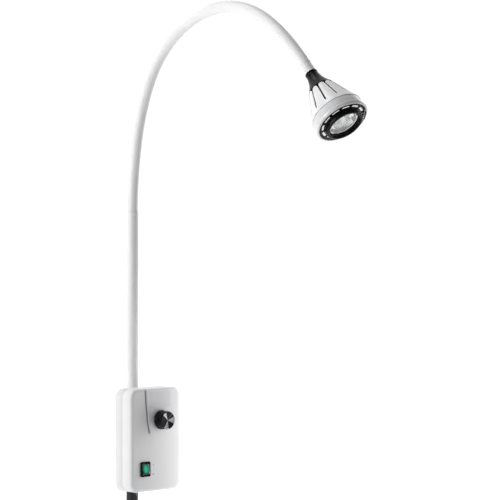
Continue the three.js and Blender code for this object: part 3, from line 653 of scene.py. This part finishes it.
def build_casing():
    half_gap = 0.2
    front = cover("front_cover_moulding", BOX_SPLIT - half_gap, BOX_FRONT, WHITE, "front_cover")
    rear = cover("rear_cover_moulding", BOX_SPLIT + half_gap, BOX_BACK, WHITE, "rear_cover")

    on_front = facing_front(0, BOX_FRONT, 0)
    groove = raised("groove", groove_outline(FIELD_TOP + 6, 0), [(0.5, -GROOVE_DEPTH),
                    (0, -GROOVE_DEPTH + 0.5), (0, -0.4), (-0.5, 0.1), (-0.5, 5)], WHITE, None, on_front)
    # A grey strip laid in the groove's floor: painted shade darkening the groove.
    strip = raised("groove_shade_strip", groove_outline(FIELD_TOP - 2, 0.35), [(0, -GROOVE_DEPTH + 0.02),
                   (0, -GROOVE_DEPTH + 0.5), (0.2, -GROOVE_DEPTH + 0.7)], GROOVE_PAINTED_SHADE, "base", on_front)
    stands_for(strip, "white_plastic")

    inlet_low, inlet_high = box_mm("mains_inlet")
    middle = (inlet_low + inlet_high) / 2
    fuse = sum(box_mm("fuse_holder"), Vector()) / 2
    below, seat, above = box_low.z - 3, box_low.z + 1.3, box_low.z + 9

    def stepped(name, centre, outline, step):
        """A cutter through the underside, wider by step up to the height a flange is let in."""
        return raised(name, [(centre.x + x, centre.y + y) for x, y in outline],
                      [(0, below), (0, seat), (step, seat), (step, above)], WHITE)

    def inlet_way(i):
        return stepped(f"inlet_way_{i}", middle, rounded_rectangle(34.6, 24.6, 4.3), 3.6)

    def fuse_way(i):
        return stepped(f"fuse_way_{i}", fuse, circle(8.3), 1.1)

    rocker_way = raised("rocker_way", rounded_rectangle(16.6, 19.6, 0.6), [(0, -6), (0, 3)], WHITE, None,
                        facing_front(ROCKER.x, BOX_FRONT, ROCKER.z))
    shaft_way = raised("shaft_way", circle(4.3), [(0, -6), (0, 4)], WHITE, None,
                       facing_front(KNOB.x, BOX_FRONT, KNOB.z))
    carved(front, [groove, rocker_way, shaft_way, inlet_way(1), fuse_way(1)], sharp=28)

    wells = []
    for i in range(1, 5):
        low, high = box_mm(f"case_screw_{i}")
        head = (high.x - low.x) / 2
        x, z = (low.x + high.x) / 2, (low.z + high.z) / 2
        wells.append(raised(f"well_{i}", circle(head + 0.5), [(0, -12), (0, -0.5), (-0.5, 0), (-0.5, 2)],
                     WHITE, None, facing_back(x, BOX_BACK, z)))
        screw = socket_screw(f"case_screw_{i}_head", head, low.y - high.y, facing_back(x, high.y, z))
        stands_for(screw, "steel", f"case_screw_{i}")
        post = turned(f"case_post_{i}", [(head + 0.5, BOX_SPLIT + half_gap - BOX_BACK), (head + 0.5, -0.9),
                      (head + 1.6, -0.9), (head + 1.6, BOX_SPLIT + half_gap - BOX_BACK)], WHITE, "base",
                      facing_back(x, BOX_BACK, z), sides=48, soften=0.1)
        stands_for(post, "white_plastic")
    carved(rear, [*wells, inlet_way(2), fuse_way(2)], sharp=28)
    build_field()


def build_field():
    """The raised field right of the groove, highest at the top, with a blank label and two plain marks."""
    def height(_, z):
        return FIELD_RISE * (z - FIELD_FOOT) / (FIELD_TOP - FIELD_FOOT)

    edge, right, corner = 1.0, 43.5, 9
    outline = [(right, FIELD_FOOT), *arc((right - corner, FIELD_TOP - corner), corner, 0, 90, 8),
               *[(groove_line(z), z) for z in reversed(field_heights(FIELD_TOP))]]
    levels = [(0, -4.5), (0, lambda x, z: height(x, z) - edge)]
    for i in (1, 2, 3, 4):
        a = math.pi / 8 * i
        levels.append((edge * (1 - math.cos(a)), lambda x, z, a=a: height(x, z) - edge * (1 - math.sin(a))))
    levels.append((edge * 1.8, height))
    field = raised("front_raised_field", outline, levels, WHITE, "base", facing_front(0, BOX_FRONT, 0),
                   sharp=28)
    stands_for(field, "white_plastic")

    label = rounded_rectangle(43, 25, 1.6)
    label = [(x + 5.5, z + box_high.z - 17.5) for x, z in label]
    film = raised("blank_label", label, [(0, lambda x, z: height(x, z) - 0.3),
                  (0, lambda x, z: height(x, z) + 0.06), (0.08, lambda x, z: height(x, z) + 0.12),
                  (0.5, lambda x, z: height(x, z) + 0.12)], LABEL, "base", facing_front(0, BOX_FRONT, 0))
    stands_for(film, "white_plastic")

    mark_x = ROCKER.x + 16.7
    ring = turned("mark_off", [(1.5, -0.2), (1.5, 0.08), (1.05, 0.08), (1.05, -0.2)], INK, "base",
                  facing_front(mark_x, BOX_FRONT, ROCKER.z - 8.5), sides=40, soften=0.03)
    stroke = raised("mark_on", rounded_rectangle(0.55, 3.2, 0.2, 4), [(0, -0.2), (0, 0.05), (0.03, 0.08)],
                    INK, "base", facing_front(mark_x, BOX_FRONT, ROCKER.z + 6))
    for mark in (ring, stroke):
        stands_for(mark, "black_plastic")


# ---- Underside: mains inlet and fuse ----
def build_mains():
    low, high = box_mm("mains_inlet")
    x, y = (low.x + high.x) / 2, (low.y + high.y) / 2
    place = upright_at(x, y, low.z)
    flange = raised("flange", rounded_rectangle(34, 24, 4), [(0.5, 0), (0.15, 0.12), (0, 0.4), (0, 1.4)],
                    SATIN_BLACK, None, place)
    can = raised("can", rounded_rectangle(26.2, 19.2, 2), [(0, 1.2), (0, high.z - low.z)], SATIN_BLACK, None,
                 place)
    inlet = joined("mains_inlet_moulding", [flange, can], SATIN_BLACK, "base")
    # The connector's mouth has two slanted corners, as a three-pin inlet has.
    mouth = [(-12.1, -8.3), (12.1, -8.3), (12.1, 3.6), (7.4, 8.3), (-7.4, 8.3), (-12.1, 3.6)]
    mouth = softened(mouth, 1.0, closed=True)
    recess = raised("mouth", mouth, [(-0.8, -1), (0, 0.7), (0, 16.5)], SATIN_BLACK, None, place)
    carved(inlet, [recess])
    stands_for(inlet, "black_plastic", "mains_inlet")
    for pin in ("live", "neutral", "earth"):
        refined(f"inlet_pin_{pin}", STEEL, 0.5)
    for side in (-1, 1):
        rivet = turned(f"inlet_rivet_{'left' if side < 0 else 'right'}", [(0, -0.35), (0.9, -0.3), (1.5, 0),
                       (1.6, 0.4), (0, 0.4)], STEEL, "base", place @ Matrix.Translation((side * 14.7, 0,
                       0.1)), 32)
        stands_for(rivet, "steel")

    low, high = box_mm("fuse_holder")
    x, y = (low.x + high.x) / 2, (low.y + high.y) / 2
    place = upright_at(x, y, low.z)
    holder = turned("fuse_holder_moulding", [(8, 0), (8, 1.4), (6.9, 1.4), (6.9, high.z - low.z),
                    (4.5, high.z - low.z), (4.5, 3.2), (6.3, 3.2), (6.3, 0)], SATIN_BLACK, "base", place,
                    soften=0.3)
    stands_for(holder, "black_plastic", "fuse_holder")

    def grips(radius, z, angle):
        return -0.25 * max(0, math.cos(12 * angle)) ** 2 if radius > 5 and z < 2.2 else 0

    cap = turned("fuse_cap_moulding", [(0, 0.1), (5.3, 0.1), (5.9, 0.6), (5.9, 2.8), (4.1, 2.8), (4.1, 19),
                 (0, 19)], SATIN_BLACK, "base", place, sides=144, soften=0.25, ripple=grips)
    slot = raised("slot", rounded_rectangle(8.4, 1.3, 0.5), [(0, -1), (0, 1.5)], SATIN_BLACK, None, place)
    stands_for(carved(cap, [slot]), "black_plastic", "fuse_cap")


# ---- Knob and rocker ----
def build_controls():
    low, high = box_mm("knob_body")
    tall = high.y - low.y
    radius = (high.x - low.x) / 2 - 0.5
    place = facing_front(KNOB.x, high.y, KNOB.z)
    seat = tall - 1.4
    face_radius = radius - 1.1

    def knurl(r, z, angle):
        return -0.22 * (0.5 - 0.5 * math.cos(54 * angle)) if r > radius - 1 and 3.4 < z < tall - 1.2 else 0

    body = turned("knob_grip", [(3.4, 0), (radius + 0.5, 0), (radius + 0.5, 1.8), (radius - 0.1, 2.8),
                  (radius - 0.2, 3.5), (radius - 0.45, tall - 1.3), (radius - 0.55, tall - 0.7),
                  (radius - 0.9, tall - 0.1), (face_radius + 0.1, tall - 0.2), (face_radius + 0.1, seat),
                  (3.4, seat)], BLACK, "knob", place, sides=324, soften=0.15, ripple=knurl)
    stands_for(body, "black_plastic", "knob_body")
    face = turned("knob_spun_face", [(0, tall - 0.55), (2.2, tall - 0.5), (face_radius - 2.4, tall - 0.12),
                  (face_radius - 1.5, tall - 0.02), (face_radius - 0.9, tall + 0.05),
                  (face_radius, tall - 0.5), (face_radius, seat + 0.1), (0, seat + 0.1)], SPUN, "knob", place,
                  sides=144, soften=0.15)
    stands_for(face, "aluminium", "knob_face")
    collar = turned("knob_bush", [(4.2, -3), (4.2, 0.5), (5.6, 0.5), (5.6, 0.9), (4.9, 1.8), (3.2, 1.8),
                    (3.2, -3)], STEEL, "base", facing_front(KNOB.x, BOX_FRONT, KNOB.z), sides=48, soften=0.15)
    stands_for(collar, "steel")

    place = facing_front(ROCKER.x, BOX_FRONT, ROCKER.z)
    bezel = raised("rocker_bezel", rounded_rectangle(19.4, 23, 2), [(0, 0.25), *pillow(1.75, 0.7, 0.3)],
                   BLACK, "base", place)
    can = raised("rocker_can", rounded_rectangle(16, 19, 0.5), [(0, -22), (0, 0.6)], BLACK, None, place)
    bezel = joined("rocker_housing_moulding", [bezel, can], BLACK, "base")
    pocket = raised("pocket", rounded_rectangle(14.2, 17.8, 0.8), [(0, -6.5), (0, 1.1), (-0.7, 1.9),
                    (-1.2, 3)], BLACK, None, place)
    stands_for(carved(bezel, [pocket]), "black_plastic", "rocker_housing")
    build_rocker_button()


def build_rocker_button():
    """The green lens: two shallow dished halves that meet in a ridge, ribbed across the lower one."""
    tilt = math.radians(-9)
    local = Matrix.Rotation(tilt, 4, "X")
    base = Matrix.Scale(MM, 4) @ Matrix.Translation(ROCKER) @ local
    half_wide, half_tall = 6.8, 8
    across, along = 12, 96

    def front(z):
        """How far the lens stands out at a height from its pivot."""
        dish = 2.2 + 0.8 * (z / half_tall) ** 2
        rib = 0.12 * max(0, math.sin(z * FULL / 1.1)) if -6.4 < z < -1.2 else 0
        return dish + rib

    rings = []
    for i in range(along + 1):
        z = -half_tall + 2 * half_tall * i / along
        end = max(abs(z) - half_tall + 0.6, 0) / 0.6
        fall = 0.5 * (1 - math.sqrt(max(1 - end ** 2, 0)))
        top = front(z) - fall
        side = [(-half_wide, -2.4), (-half_wide, top - 0.5)]
        crown = [(-half_wide + 0.35 + (2 * half_wide - 0.7) * k / across, top) for k in range(across + 1)]
        outline = [*side, (-half_wide + 0.1, top - 0.15), *crown, (half_wide - 0.1, top - 0.15),
                   (half_wide, top - 0.5), (half_wide, -2.4)]
        rings.append([(x, -out, z) for x, out in outline])
    lens = lofted("rocker_lens", rings, LENS, "rocker", base, sharp=40)
    stands_for(lens, "green_lens", "rocker_button")


# ---- Flexible neck ----
def neck_at(distance):
    """Centre and lean of the neck's line at a distance along it, in millimetres and radians."""
    forward = height = lean = 0.0
    for i, bend in enumerate(NECK_BENDS):
        run = min(max(distance - i * NECK_PITCH, 0), NECK_PITCH)
        turn = math.radians(bend) * run / NECK_PITCH
        chord = run * math.sin(turn / 2) / (turn / 2) if turn else run
        forward += chord * math.sin(lean + turn / 2)
        height += chord * math.cos(lean + turn / 2)
        lean += turn
    straight = max(distance - len(NECK_BENDS) * NECK_PITCH, 0)
    forward += straight * math.sin(lean)
    height += straight * math.cos(lean)
    return Vector((0, -forward, NECK_START + height)), lean


def neck_ring(distance, radius, sides=56):
    centre, lean = neck_at(distance)
    up = Vector((0, math.cos(lean), math.sin(lean)))
    spots = round_angles(sides)
    return [tuple(centre + Vector((math.cos(a), 0, 0)) * radius + up * radius * math.sin(a)) for a in spots]


def build_neck():
    """One sleeve over each pivot, bent across it, and a ribbed end that is part of the head."""
    links = len(NECK_BENDS)
    inner = NECK_RADIUS - 1.3
    rows = 36
    for i in range(links):
        start, end = i * NECK_PITCH, (i + 1) * NECK_PITCH
        spans = [start + NECK_PITCH * k / rows for k in range(rows + 1)]
        outside = [neck_ring(s, NECK_RADIUS) for s in spans]
        if i == 0:
            outside = [neck_ring(0.05, NECK_RADIUS - 0.5), neck_ring(0.25, NECK_RADIUS - 0.15),
                       neck_ring(0.7, NECK_RADIUS), *outside[1:]]
        inside = [neck_ring(s, inner) for s in reversed(spans)]
        node = "neck_root" if i == 0 else f"neck_link_{i}"
        sleeve = lofted(f"neck_sleeve_{i + 1}", [*outside, *inside], SLEEVE, closed=True, sharp=60)
        stands_for(sleeve, "neck_sleeve", node)
        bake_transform(sleeve)

    bent = links * NECK_PITCH
    rib_pitch, rib_rise = 1.8, 0.32
    rings = [neck_ring(bent, NECK_RADIUS)]
    steps = 100
    for k in range(1, steps + 1):
        run = (NECK_TAIL + 4) * k / steps
        wave = 0.5 - 0.5 * math.cos(FULL * run / rib_pitch)
        rings.append(neck_ring(bent + run, NECK_RADIUS - rib_rise * wave ** 0.6))
    rings += [neck_ring(bent + NECK_TAIL + 4, inner), neck_ring(bent, inner)]
    tail = lofted("neck_ribbed_end", rings, SLEEVE, "head", closed=True, sharp=60)
    stands_for(tail, "neck_sleeve", "neck_end")


# ---- Lamp head, in its own frame: z from the collar to the front ring, y to the head's top ----
PETALS = 12
SLIT = 1.3                      # half the width of a slit between two petals
SLIT_END = 70.2
PETAL_TIP = 33.2
PETAL_ROUND = 37.6              # where a petal's round tip reaches its full width
CONE_TOP = 79
RING_FACE = 96
SNOOT = 8                       # how far the snoot stands out of the ring
CATCH_ANGLE = math.radians(28)


def shell_radius(z):
    return 20.4 + (z - 33) * 0.405


def build_petals():
    """The white cone, cut by slits into petals with round tips."""
    sector = math.pi / PETALS
    columns, wall = 16, 2.2
    quarter = quarter_turn(8)
    rows = []
    for a in quarter:
        z = PETAL_ROUND - (PETAL_ROUND - PETAL_TIP) * math.cos(a)
        rows.append((z, (sector - SLIT / shell_radius(z)) * math.sin(a)))
    for i in range(1, 7):
        z = PETAL_ROUND + (SLIT_END - PETAL_ROUND) * i / 6
        rows.append((z, sector - SLIT / shell_radius(z)))
    for a in quarter[1:]:
        z = SLIT_END + SLIT * math.sin(a)
        rows.append((z, sector - SLIT * math.cos(a) / shell_radius(z)))
    rows += [(z, sector) for z in (74, 76.5, CONE_TOP)]

    def point(z, angle, depth):
        r = shell_radius(z) - depth
        return (*on_circle(r, angle), z)

    verts, faces = [], []
    for petal in range(PETALS):
        middle = (petal + 0.5) * 2 * sector
        first = len(verts)
        for depth in (0, wall):
            for z, half in rows:
                verts += [point(z, middle + half * (2 * k / columns - 1), depth) for k in range(columns + 1)]
        width, sheet = columns + 1, len(rows) * (columns + 1)
        for i in range(len(rows) - 1):
            for k in range(columns):
                a = first + i * width + k
                quad = (a, a + 1, a + width + 1, a + width)
                faces += [quad, tuple(v + sheet for v in reversed(quad))]
            for k in (0, columns):
                a = first + i * width + k
                if rows[i + 1][1] < sector or rows[i][1] < sector:
                    faces.append((a, a + width, a + width + sheet, a + sheet))
        top = first + (len(rows) - 1) * width
        faces += [(top + k, top + k + 1, top + k + 1 + sheet, top + k + sheet) for k in range(columns)]
    cone = solid("head_petals", verts, faces, HEAD_WHITE, None, HEAD)
    soft = cone.modifiers.new("soft_edges", "BEVEL")
    soft.width = 0.55 * MM
    soft.segments = 3
    soft.limit_method = "ANGLE"
    soft.angle_limit = math.radians(40)
    mesh = with_modifiers(cone)
    bpy.data.objects.remove(cone)
    petals = finished("head_petals", mesh, HEAD_WHITE, "head", 40)
    stands_for(petals, "white_plastic", "head_shell")


def build_shell():
    build_petals()
    band = turned("head_band", [(38.2, CONE_TOP + 0.3), (38.6, CONE_TOP + 0.8), (39.6, 90), (39.2, 90.4),
                  (37.6, 90.4), (36.6, CONE_TOP + 0.3)], BAND, "head", HEAD, 160, 0.25)
    stands_for(band, "white_plastic")
    rim = turned("head_rim", [(38.2, 90.6), (40, 90.8), (40.5, 91.6), (40.6, 93), (40.1, 95), (39, 96.4),
                 (37.9, 96.8), (37.2, 96.6), (37, 96), (37, 91.6), (37.5, 90.8)], HEAD_WHITE, "head", HEAD,
                 160, 0.7)
    stands_for(rim, "white_plastic")

    inset, wall = 3.4, 2
    inner = [(shell_radius(z) - inset, z) for z in (34, 50, 70)]
    housing = turned("lamp_housing_moulding", [(9.2, 0), (9.55, 0.5), (9.55, 2.4), (9.0, 3), (9.0, 3.6),
                     (9.3, 4.2), (9.6, 8), (11.4, 15), (14.2, 22), (18.6, 30), (19.7, 32.1), (19.3, 32.5),
                     (17, 32.6), *inner, (inner[-1][0] - wall, 70), (inner[0][0] - wall, 34), (11, 24.5),
                     (9.4, 17), (6.4, 17), (6.4, 0)], BLACK, "head", HEAD, 128, 0.5)
    stands_for(housing, "black_plastic", "lamp_housing")


def build_front_ring():
    """Black ring with slots, and the ribbed snoot that holds the cover glass."""
    face = RING_FACE
    lip = face + SNOOT
    ribs = 60

    def rib(r, z, angle):
        return -0.3 * (0.5 - 0.5 * math.cos(ribs * angle)) if r > 28 and face + 1.2 < z < lip - 1.6 else 0

    profile = [(36.6, face - 3), (36.6, face - 0.6), (36, face), (29.2, face), (28.8, face + 1),
               (28.5, lip - 1.6), (28.2, lip - 0.7), (27.4, lip), (25.2, lip), (24.3, lip - 0.5),
               (24, lip - 1.3), (23.4, face + 0.2), (23.5, face), (25.9, face - 0.2), (25.9, face - 7),
               (27.8, face - 7), (27.8, face - 3)]
    ring = turned("front_ring_moulding", profile, BLACK, "front_ring", HEAD, 360, 0.3, rib)
    slots = 12
    sweep = math.radians(22.5)
    inner, outer = 29.9, 33
    half = (outer - inner) / 2
    middle = (outer + inner) / 2
    reach = sweep / 2 - half / middle
    shares = (-1, -0.6, -0.2, 0.2, 0.6, 1)
    tools = []
    for i in range(slots):
        centre = CATCH_ANGLE + i * FULL / slots
        far = [on_circle(outer, centre + reach * t) for t in shares]
        near = [on_circle(inner, centre + reach * t) for t in reversed(shares)]
        left, right = centre + reach, centre - reach
        round_far = arc(on_circle(middle, left), half, math.degrees(left), math.degrees(left) + 180, 8)
        round_near = arc(on_circle(middle, right), half, math.degrees(right) - 180, math.degrees(right), 8)
        outline = [*far, *round_far[1:-1], *near, *round_near[1:-1]]
        tools.append(raised(f"slot_{i}", outline, [(0, face - 1.1), (0, face - 0.3), (-0.3, face + 0.05),
                            (-0.3, face + 2)], BLACK, None, HEAD))
    carved(ring, tools)
    stands_for(ring, "black_plastic", "front_ring")
    # A white ring behind the slots that glows by its emission: painted light making the slots read bright.
    baffle = turned("ring_vent_glow_backing", [(33.4, face - 1.4), (33.4, face - 0.75), (29.4, face - 0.75),
                    (29.4, face - 1.4)], VENT_BACKING_PAINTED_GLOW, "front_ring", HEAD, 128, 0.1)
    stands_for(baffle, "white_plastic")
    build_latch()

    glass = turned("cover_glass_disc", [(0, face - 0.6), (25, face - 0.6), (25.3, face - 0.9),
                   (25.3, face - 1.5), (25, face - 1.8), (0, face - 1.8)], GLASS, "front_ring", HEAD, 96, 0.1)
    stands_for(glass, "clear_glass", "cover_glass")
    retainer = turned("glass_retaining_ring", [(23.2, face - 0.5), (23.2, face + 1), (22.9, face + 1.2),
                      (21.9, face + 0.2), (21.9, face - 0.5)], CHROME, "front_ring", HEAD, 96, 0.15)
    stands_for(retainer, "chrome")
    gasket = turned("glass_gasket_ring", [(24, face - 3), (25.4, face - 3), (25.4, face - 2.1),
                    (24, face - 2.1)], RUBBER, "front_ring", HEAD, 96, 0.5)
    stands_for(gasket, "rubber", "glass_gasket")


def build_latch():
    """Spring catch beside the snoot: a black block with a finger pad, under a bent bright wire."""
    place = HEAD @ Matrix.Rotation(CATCH_ANGLE, 4, "Z") @ Matrix.Translation((0, 0, RING_FACE))
    block = raised("ring_latch_block", rounded_rectangle(6, 13, 1.2), [(0.4, 0.3), (0, 0.6),
                   *pillow(2.2, 0.7, 0.6)], BLACK, None, place @ Matrix.Translation((32.8, 0, 0)))
    pad = raised("pad", rounded_rectangle(3.6, 6, 1), pillow(0.9, 0.5, 2.6), BLACK, None,
                 place @ Matrix.Translation((33.2, -2.5, 0)))
    ridges = [raised(f"ridge_{i}", rounded_rectangle(3, 0.7, 0.3, 4), pillow(0.5, 0.25, 3.3), BLACK, None,
                     place @ Matrix.Translation((33.2, -4.3 + 1.2 * i, 0))) for i in range(4)]
    latch = joined("ring_latch_catch", [block, pad, *ridges], BLACK, "front_ring")
    stands_for(latch, "black_plastic", "ring_latch")

    # The wire runs from the ring up to the snoot's lip, along it and back down.
    path = [(33.4, 15, 0.4), (33, 14.6, 1.4), (30.6, 11.5, 4.4), (29.3, 9, 6.2), (29.6, 5, 6.2),
            (30, 1.5, 5.4), (32.4, -0.4, 3.6), (34.6, -1.5, 2.9)]
    stations = []
    for i in range(len(path) - 1):
        before, start = Vector(path[max(i - 1, 0)]), Vector(path[i])
        end, after = Vector(path[i + 1]), Vector(path[min(i + 2, len(path) - 1)])
        for k in range(8):
            t = k / 8
            stations.append(0.5 * (2 * start + (end - before) * t + (2 * before - 5 * start + 4 * end
                            - after) * t ** 2 + (3 * start - before - 3 * end + after) * t ** 3))
    stations.append(Vector(path[-1]))
    rings = []
    for i, centre in enumerate(stations):
        along = (stations[min(i + 1, len(stations) - 1)] - stations[max(i - 1, 0)]).normalized()
        side = along.cross(Vector((0, 0, 1))).normalized()
        up = side.cross(along)
        radius = 0.45 if 0 < i < len(stations) - 1 else 0.05
        rings.append([tuple(centre + (side * math.cos(a) + up * math.sin(a)) * radius)
                      for a in round_angles(12)])
    wire = lofted("ring_latch_wire", rings, CHROME, "front_ring", place, sharp=50)
    stands_for(wire, "chrome")


def build_bulb():
    """The halogen reflector lamp: a dish of flat facets, its capsule and the filament inside it."""
    rim = RING_FACE - 3.3
    inside = [(5, rim - 27), (7, rim - 25.5), (9.6, rim - 23), (12, rim - 20), (14.6, rim - 16),
              (17, rim - 11.5), (19, rim - 7.8), (20.8, rim - 4), (22.1, rim - 2)]
    outside = [(25.2, rim - 1.6), (22.8, rim - 5), (19, rim - 13), (14, rim - 22), (9, rim - 29),
               (7.8, rim - 31), (7.8, rim - 37)]
    sides = 36
    rings = []
    profile = [*inside, (23.4, rim), (25.2, rim), *outside, (1.5, rim - 37), (1.5, rim - 27)]
    for i, (radius, z) in enumerate(profile):
        twist = 0.5 * (i % 2) if i < len(inside) else 0
        spots = [FULL * (k + twist) / sides for k in range(sides)]
        rings.append([(*on_circle(radius, a), z) for a in spots])
    dish = lofted("reflector_dish", rings, MIRROR_PAINTED_GLOW, "head", HEAD, closed=True, sharp=1)
    stands_for(dish, "mirror", "reflector")

    capsule = turned("halogen_capsule_bulb", [(0, rim - 26.6), (3.2, rim - 26.6), (3.4, rim - 21),
                     (4.4, rim - 19.5), (4.6, rim - 15), (3.6, rim - 12), (1.6, rim - 10.6), (0, rim - 10.2)],
                     QUARTZ, "head", HEAD, 48, 0.6)
    stands_for(capsule, "clear_glass", "halogen_capsule")
    coil = []
    turns, around = 7, 8
    for k in range(turns * 12 + 1):
        a = FULL * k / 12
        centre = Vector((-2.1 + 4.2 * k / (turns * 12), 0.8 * math.cos(a), rim - 16 + 0.8 * math.sin(a)))
        out = Vector((0, math.cos(a), math.sin(a)))
        side = Vector((1, 0, 0))
        spots = round_angles(around)
        coil.append([tuple(centre + (out * math.cos(b) + side * math.sin(b)) * 0.16) for b in spots])
    filament = lofted("filament", coil, TUNGSTEN, "head", HEAD, sharp=60)
    stands_for(filament, "steel")
    for x in (-2.1, 2.1):
        wire = turned(f"filament_lead_{'left' if x < 0 else 'right'}", [(0, rim - 26.4), (0.22, rim - 26.4),
                      (0.22, rim - 16), (0, rim - 15.9)], TUNGSTEN, "head", HEAD @ Matrix.Translation((x, 0,
                      0)), 12)
        stands_for(wire, "steel")


def finish_other_nodes():
    """Every CAD node that still shows keeps its shape and gets its slot's finish."""
    for name, piece in nodes.items():
        if piece.hide_render:
            continue
        piece.data.materials.clear()
        piece.data.materials.append(SLOT_LOOKS[SLOT_OF[name]])


build_camera()
build_studio()
build_column()
build_casing()
build_mains()
build_controls()
build_neck()
build_shell()
build_front_ring()
build_bulb()
finish_other_nodes()
